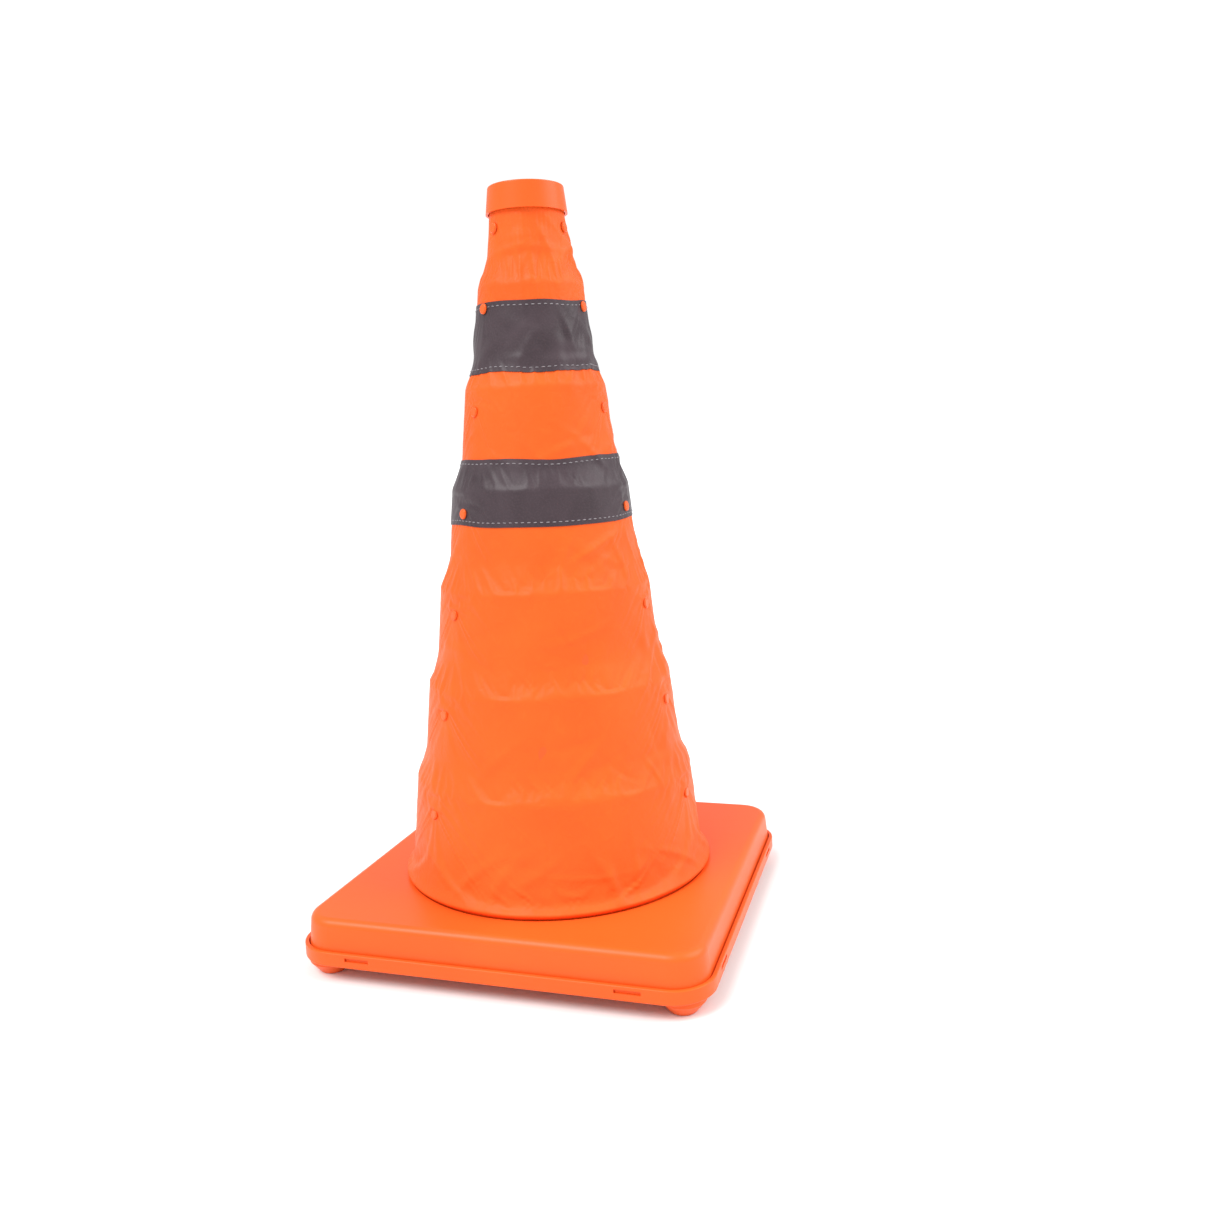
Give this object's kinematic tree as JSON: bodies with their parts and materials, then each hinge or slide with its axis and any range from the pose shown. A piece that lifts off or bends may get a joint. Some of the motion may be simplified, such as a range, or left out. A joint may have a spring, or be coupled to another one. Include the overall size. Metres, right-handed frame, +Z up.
{
  "type": "collapsible traffic cone",
  "caption": "Pop-up traffic cone: fabric sleeve with reflective bands over telescoping rings that fold down into a square hollow base with feet.",
  "frame": {"origin": "centre of the square base, on the plane the feet stand on", "axes": "+Z up along the cone's axis; X and Y square to the sides of the base"},
  "size_m": [0.247, 0.247, 0.45],
  "materials": {
    "base_plastic": "moulded, satin gloss",
    "cap_plastic": "moulded, satin gloss",
    "ring_plastic": "moulded, matte",
    "rivet_plastic": "moulded, glossy",
    "orange_fabric": "coated polyester, slight sheen",
    "reflective_tape": "grey retro-reflective tape, slight sheen",
    "screw_steel": "zinc plated"
  },
  "bodies": {
    "base": {"bottom_tray": "base_plastic", "deck_shell": "base_plastic", "base_collar": "ring_plastic", "collar_screws": "screw_steel", "fabric_section_7": "orange_fabric"},
    "ring_7": {"support_ring_7": "ring_plastic", "ring_7_rivets": "rivet_plastic", "ring_7_rivet_backs": "rivet_plastic", "fabric_section_6": "orange_fabric"},
    "ring_6": {"support_ring_6": "ring_plastic", "ring_6_rivets": "rivet_plastic", "ring_6_rivet_backs": "rivet_plastic", "fabric_section_5": "orange_fabric"},
    "ring_5": {"support_ring_5": "ring_plastic", "ring_5_rivets": "rivet_plastic", "ring_5_rivet_backs": "rivet_plastic", "fabric_section_4": "orange_fabric"},
    "ring_4": {"support_ring_4": "ring_plastic", "ring_4_rivets": "rivet_plastic", "ring_4_rivet_backs": "rivet_plastic", "fabric_section_3": "orange_fabric", "reflective_band_lower": "reflective_tape"},
    "ring_3": {"support_ring_3": "ring_plastic", "ring_3_rivets": "rivet_plastic", "ring_3_rivet_backs": "rivet_plastic", "fabric_section_2": "orange_fabric"},
    "ring_2": {"support_ring_2": "ring_plastic", "ring_2_rivets": "rivet_plastic", "ring_2_rivet_backs": "rivet_plastic", "fabric_section_1": "orange_fabric", "reflective_band_upper": "reflective_tape"},
    "ring_1": {"support_ring_1": "ring_plastic", "ring_1_rivets": "rivet_plastic", "ring_1_rivet_backs": "rivet_plastic", "top_cap": "cap_plastic"}
  },
  "joints": [
    {"name": "ring_7_slide", "type": "slide", "parent": "base", "child": "ring_7", "axis": [0, 0, 1], "range_m": [-0.0163, 0], "deforming": ["fabric_section_7"]},
    {"name": "ring_6_slide", "type": "slide", "parent": "ring_7", "child": "ring_6", "axis": [0, 0, 1], "range_m": [-0.0672, 0], "deforming": ["fabric_section_6"]},
    {"name": "ring_5_slide", "type": "slide", "parent": "ring_6", "child": "ring_5", "axis": [0, 0, 1], "range_m": [-0.0586, 0], "deforming": ["fabric_section_5"]},
    {"name": "ring_4_slide", "type": "slide", "parent": "ring_5", "child": "ring_4", "axis": [0, 0, 1], "range_m": [-0.0586, 0], "deforming": ["fabric_section_4"]},
    {"name": "ring_3_slide", "type": "slide", "parent": "ring_4", "child": "ring_3", "axis": [0, 0, 1], "range_m": [-0.0586, 0], "deforming": ["fabric_section_3", "reflective_band_lower"]},
    {"name": "ring_2_slide", "type": "slide", "parent": "ring_3", "child": "ring_2", "axis": [0, 0, 1], "range_m": [-0.0586, 0], "deforming": ["fabric_section_2", "reflective_band_upper"]},
    {"name": "ring_1_slide", "type": "slide", "parent": "ring_2", "child": "ring_1", "axis": [0, 0, 1], "range_m": [-0.0586, 0], "deforming": ["fabric_section_1"]}
  ]
}
